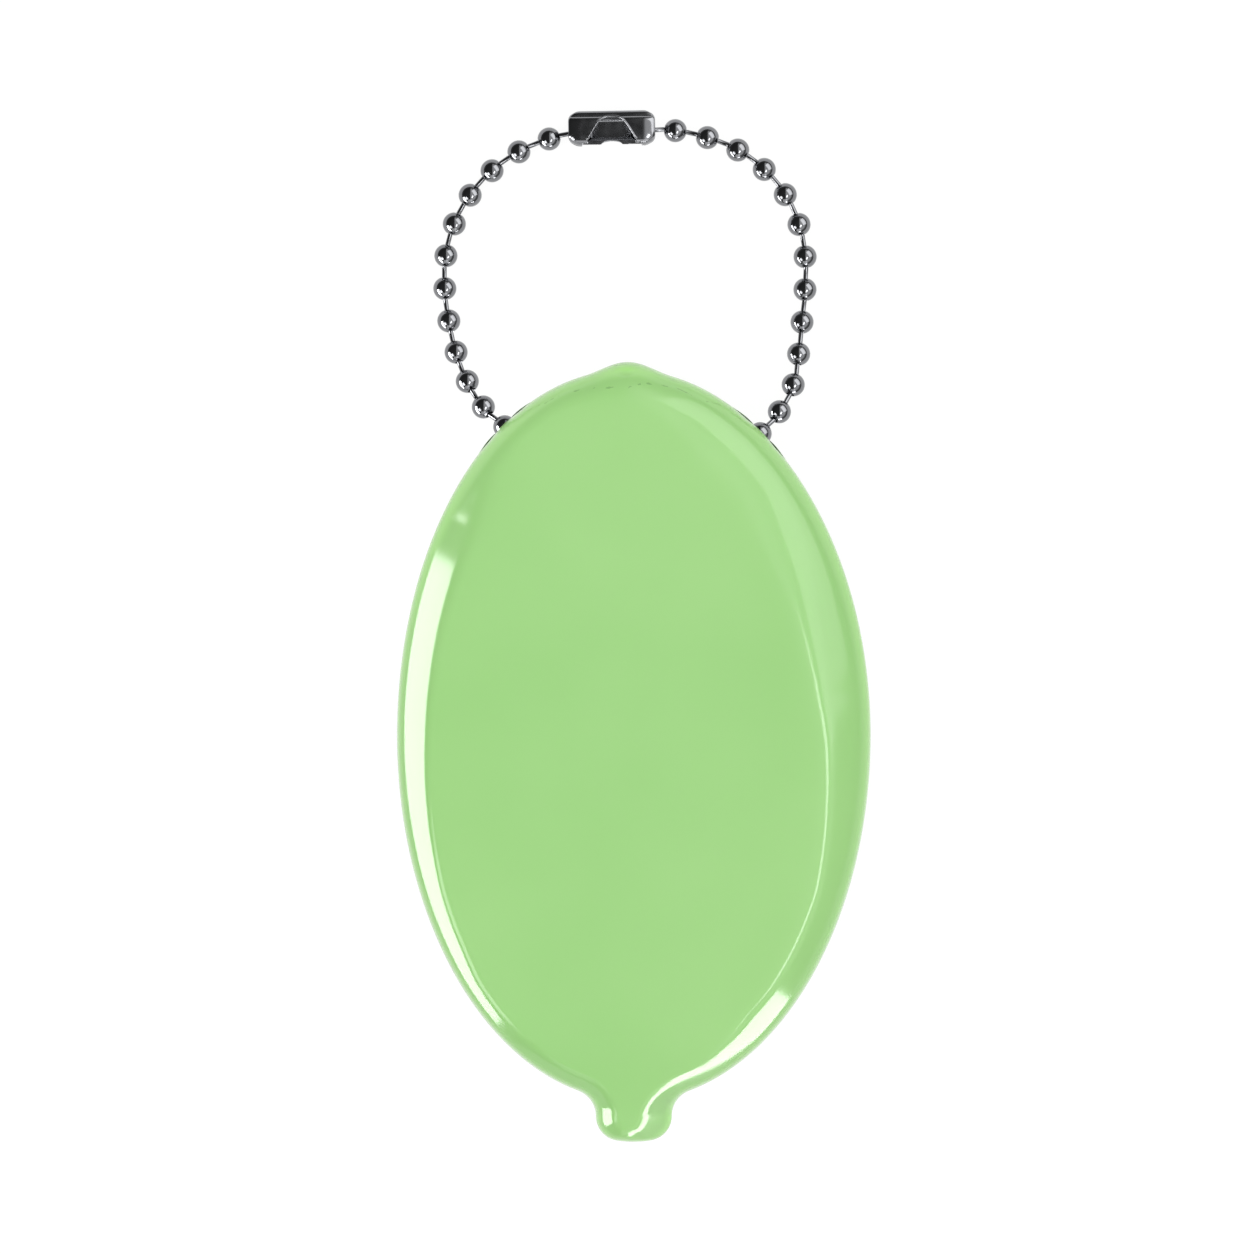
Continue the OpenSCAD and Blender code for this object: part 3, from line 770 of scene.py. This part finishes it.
# %% [markdown]
# ## Connector
# The connector is folded from one sheet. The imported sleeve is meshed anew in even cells, its edges are
# softened so that they catch the light, and its boxy section is drawn in to a soft square. A thin bead
# marks the edge that is rolled out round its window.

# %% Connector
def apply_modifiers(obj):
    """Replaces an object's mesh by its result after all modifiers."""
    graph = bpy.context.evaluated_depsgraph_get()
    mesh = bpy.data.meshes.new_from_object(obj.evaluated_get(graph))
    old = obj.data
    obj.modifiers.clear()
    obj.data = mesh
    bpy.data.meshes.remove(old)


def node_surface(node):
    """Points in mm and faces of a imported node, with its split points merged."""
    source = frame["nodes"][node]
    mesh = source.data.copy()
    mesh.transform(source.matrix_world)
    co = np.empty(len(mesh.vertices) * 3, np.float32)
    mesh.vertices.foreach_get("co", co)
    points = co.reshape(-1, 3).astype(float) / MM
    triangles = np.array([list(f.vertices) for f in mesh.polygons])
    bpy.data.meshes.remove(mesh)
    quads = np.column_stack([triangles, triangles[:, 2]])
    points, faces, _ = merged(points, quads, 0.002)
    return points, faces


clip_left, clip_right = centre_of("left_ball_12"), centre_of("right_ball_13")
clip_middle = (clip_left + clip_right) / 2
clip_way = unit(clip_right - clip_left)
clip_up = np.cross([0.0, 0.0, 1.0], clip_way)
clip_axes = np.array([clip_way, clip_up, [0.0, 0.0, 1.0]])
clip_points, clip_faces = node_surface("connector")
clip_low = ((clip_points - clip_middle) @ clip_axes.T).min(axis=0)
clip_high = ((clip_points - clip_middle) @ clip_axes.T).max(axis=0)
# The section's roundness (2 is a circle, more is squarer), and the length, pinch and bulge of the ends.
CLIP_SQUARE, CLIP_END, CLIP_PINCH, CLIP_BULGE = 3.6, 1.3, 0.12, 0.05
# The size of the new mesh's cells, and the radius of the bead round the window.
CLIP_CELL, WINDOW_BEAD = 0.05, 0.1


def pillowed(points):
    """Moves points in mm of the boxy sleeve in towards its middle, so that its section is a soft square.

    The ends are pinched only near the sleeve's outside, which leaves room for the pins and balls.
    """
    middle, half = (clip_low + clip_high) / 2, (clip_high - clip_low) / 2
    local = (points - clip_middle) @ clip_axes.T - middle
    shares = np.abs(local[:, 1:]) / half[1:]
    big, small = shares.max(axis=1), shares.min(axis=1)
    corner = small / np.maximum(big, 1e-6)
    end = np.clip((np.abs(local[:, 0]) - half[0] + CLIP_END) / CLIP_END, 0, 1)
    pinch = 1 - CLIP_PINCH * end ** 3 * smooth((big - 0.75) / 0.25)
    local[:, 1:] *= ((1 + corner ** CLIP_SQUARE) ** (-1 / CLIP_SQUARE) * pinch)[:, None]
    local[:, 0] *= 1 - CLIP_BULGE * np.clip(big, 0, 1) ** 6
    return (local + middle) @ clip_axes + clip_middle


clip = add_object("connector_sleeve", clip_points, clip_faces, connector_steel, None, 30)
even = clip.modifiers.new("even", "REMESH")
even.mode = "VOXEL"
even.voxel_size = CLIP_CELL * MM
apply_modifiers(clip)
ease = clip.modifiers.new("eased", "SMOOTH")
ease.factor = 0.5
ease.iterations = 5
apply_modifiers(clip)
co = np.empty(len(clip.data.vertices) * 3)
clip.data.vertices.foreach_get("co", co)
clip.data.vertices.foreach_set("co", (pillowed(co.reshape(-1, 3) / MM) * MM).ravel())
clip.data.materials.clear()
clip.data.materials.append(connector_steel)
clip.data.update()
clip.data.shade_smooth()
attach(clip, "connector")
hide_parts("connector")


def curve_through(corners, rounds=3):
    """Open path with its corners cut again and again, which rounds them."""
    path = np.array(corners, float)
    for _ in range(rounds):
        near, far = path[:-1] * 0.75 + path[1:] * 0.25, path[:-1] * 0.25 + path[1:] * 0.75
        path = np.concatenate([path[:1], np.stack([near, far], 1).reshape(-1, path.shape[1]), path[-1:]])
    return path


def tube(path, radius, segments=12):
    """Closed round bead along a path of (x, y, z), with tapered ends."""
    ahead = unit(np.gradient(path, axis=0))
    side = unit(np.cross(ahead, [0.0, 0.0, 1.0]))
    up = np.cross(side, ahead)
    turn = np.linspace(0, 2 * np.pi, segments, endpoint=False)
    taper = np.linspace(-1, 1, len(path))
    size = radius * np.sqrt(np.clip(1 - np.abs(taper) ** 12, 0, 1))
    rings = [p + r * (np.cos(turn)[:, None] * a + np.sin(turn)[:, None] * b)
             for p, r, a, b in zip(path, size, side, up)]
    quads = np.concatenate([ring_quads(k * segments, (k + 1) * segments, segments, True, True)
                            for k in range(len(rings) - 1)])
    return merged(np.concatenate(rings), quads, 0.0005)[:2]


# The window's rolled edge shows as a bright line.
half_arch = [(2.7, -1.0), (1.82, 0.4), (1.16, 1.23), (0.5, 1.47)]
arch = curve_through([(-x, y) for x, y in half_arch] + half_arch[::-1])
arch = [clip_middle + x * clip_way + y * clip_up + [0, 0, clip_high[2]] for x, y in arch]
arch = pillowed(np.array(arch))
rolled = add_object("connector_rolled_edge", *tube(arch, WINDOW_BEAD), connector_steel, "connector", 60)

# %% [markdown]
# ## Stage, lights and camera
# The purse lies on white paper, and the light falls from overhead. Cards that only show in reflections
# stand round it. The two bright ones are low and close, so that the flat face doesn't mirror them from
# other sides: a long one makes the left rim shine white, and a short one stands at the lower right. The
# dimmer ones are higher up and show in the chain and along the rim.

# %% Floor
PAPER = 0.93
FLOOR_SIZE, FLOOR_DROP = 3000.0, 0.03


def grey(level):
    """Opaque grey of a linear level."""
    return (level, level, level, 1)


paper, tree, shader = new_material("paper")
shader.inputs["Base Color"].default_value = grey(0.08)
shader.inputs["Roughness"].default_value = 0.9
shader.inputs["Emission Color"].default_value = grey(1)
shader.inputs["Emission Strength"].default_value = PAPER
# The paper is clear from below, so that views from below show the purse's back.
below = add(tree, "ShaderNodeNewGeometry").outputs["Backfacing"]
clear = add(tree, "ShaderNodeBsdfTransparent").outputs[0]
output = next(n for n in tree.nodes if n.type == "OUTPUT_MATERIAL")
both = add(tree, "ShaderNodeMixShader", {0: below, 1: shader.outputs[0], 2: clear})
tree.links.new(both.outputs[0], output.inputs["Surface"])
floor_corners = np.array([(-1, -1, 0), (1, -1, 0), (1, 1, 0), (-1, 1, 0)]) * FLOOR_SIZE / 2
floor = add_object("floor", floor_corners - [0, 0, FLOOR_DROP], [[0, 1, 2, 3]], paper, None)
floor.visible_glossy = False

# %% World: dark above the horizon, but bright high up at the right, and paper white below it
world = bpy.data.worlds.new("studio")
bpy.context.scene.world = world
world.use_nodes = True
tree = world.node_tree
tree.nodes.clear()
way = add(tree, "ShaderNodeTexCoord").outputs["Generated"]
parts = add(tree, "ShaderNodeSeparateXYZ", {"Vector": way})
# Height in the world: 0 straight down, 0.5 at the horizon, 1 straight up.
height = add(tree, "ShaderNodeMapRange", {"Value": parts.outputs["Z"]}, From_Min=-1.0).outputs["Result"]
ground = [(0.0, grey(PAPER)), (0.49, grey(PAPER))]
dark = ramp(tree, height, ground + [(0.52, grey(0.1)), (0.7, grey(0.04)), (1.0, grey(0.06))])
wall = ramp(tree, height, ground + [(0.53, grey(0.12)), (0.68, grey(0.2)), (0.76, grey(0.9)),
                                    (1.0, grey(0.8))])
rightward = add(tree, "ShaderNodeMapRange", {"Value": parts.outputs["X"]}, From_Min=0.03, From_Max=0.12)
shade = blended(tree, rightward.outputs["Result"], dark, wall)
background = add(tree, "ShaderNodeBackground", {"Color": shade}, Strength=1.0)
add(tree, "ShaderNodeOutputWorld", {"Surface": background.outputs[0]})


# %% Lights
def area_light(name, place, aim, size, radiance):
    """Rectangular softbox of size (width, height) in m at place, aimed at a point, with even radiance."""
    lamp = bpy.data.lights.new(name, "AREA")
    lamp.shape = "RECTANGLE"
    lamp.size, lamp.size_y = size
    lamp.energy = radiance * np.pi * size[0] * size[1]
    obj = bpy.data.objects.new(name, lamp)
    bpy.context.scene.collection.objects.link(obj)
    forward = unit(np.array(aim, float) - np.array(place, float))
    across = unit(np.cross(forward, [0.0, 0.0, 1.0]))
    up = np.cross(across, forward)
    matrix = np.eye(4)
    matrix[:3, 0], matrix[:3, 1], matrix[:3, 2], matrix[:3, 3] = across, up, -forward, place
    obj.matrix_world = matrix.T.tolist()
    return obj


overhead = area_light("overhead", (-0.2, 0.0, 0.8), (0, 0, 0), (1.0, 1.0), 2.1)
overhead.visible_glossy = False
# Cards that show in glossy surfaces and add no light of their own: place, aim, size and radiance.
cards = {
    "card_left": ((-0.07, -0.0205, 0.0195), (0.0, -0.0205, 0.0195), (0.117, 0.021), 12.0),
    "card_chain": ((-0.18, -0.10, 0.19), (0.0, 0.03, 0.0), (0.13, 0.11), 4.0),
    "card_lower_right": ((0.022, -0.0555, 0.0155), (-0.0264, 0.032, 0.0155), (0.0434, 0.015), 12.0),
    "card_right": ((0.092, -0.028, 0.235), (0.01, 0.0, 0.0), (0.11, 0.05), 6.0),
    "card_upper_right": ((0.30, 0.22, 0.25), (0.0, 0.0, 0.0), (0.45, 0.3), 1.7),
    "card_below": ((0.0, -0.6, 0.3), (0.0, 0.0, 0.0), (0.5, 0.45), 1.0),
}
for name, (place, aim, size, radiance) in cards.items():
    area_light(name, place, aim, size, radiance).visible_diffuse = False

# %% Camera: a long lens straight above, that frames FRAME_MM at the height of the purse's middle
LENS, SENSOR, FRAME_MM = 250, 36, 128.7
camera_data = bpy.data.cameras.new("camera")
camera_data.lens = LENS
camera_data.sensor_width = SENSOR
camera_data.clip_end = 10
camera = bpy.data.objects.new("camera", camera_data)
bpy.context.scene.collection.objects.link(camera)
camera.location = (-0.0007, 0.0111, MID_Z * MM + FRAME_MM * MM * LENS / SENSOR)
bpy.context.scene.camera = camera
bpy.context.scene.view_settings.view_transform = "Standard"

# %% Update the scene and finish
bpy.context.view_layer.update()
